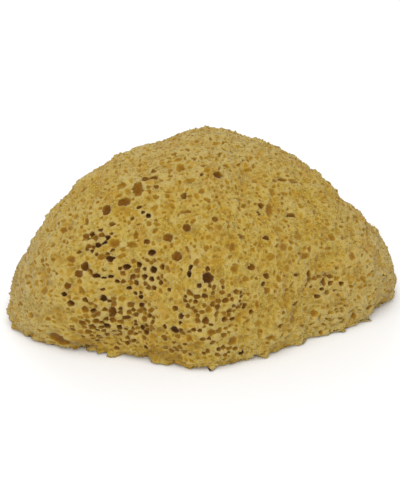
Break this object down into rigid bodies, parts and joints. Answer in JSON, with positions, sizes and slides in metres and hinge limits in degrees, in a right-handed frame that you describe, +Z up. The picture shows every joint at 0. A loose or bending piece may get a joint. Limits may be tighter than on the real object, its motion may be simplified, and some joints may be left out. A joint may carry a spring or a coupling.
{
  "type": "sea sponge",
  "caption": "Natural sea sponge, a lumpy porous dome cut flat underneath, pitted with round pores and open canals.",
  "frame": {"origin": "middle of the sponge's box, on the plane of its flat cut", "axes": "+X along the sponge's longest way, +Z up from the flat cut through the crown, -Y towards the side that is looked at"},
  "size_m": [0.1624, 0.1106, 0.0765],
  "materials": {
    "sponge_skin": "dry fibrous sponge, matte, golden tan with brown pore floors"
  },
  "bodies": {
    "root": {"sponge": "sponge_skin"}
  },
  "joints": []
}
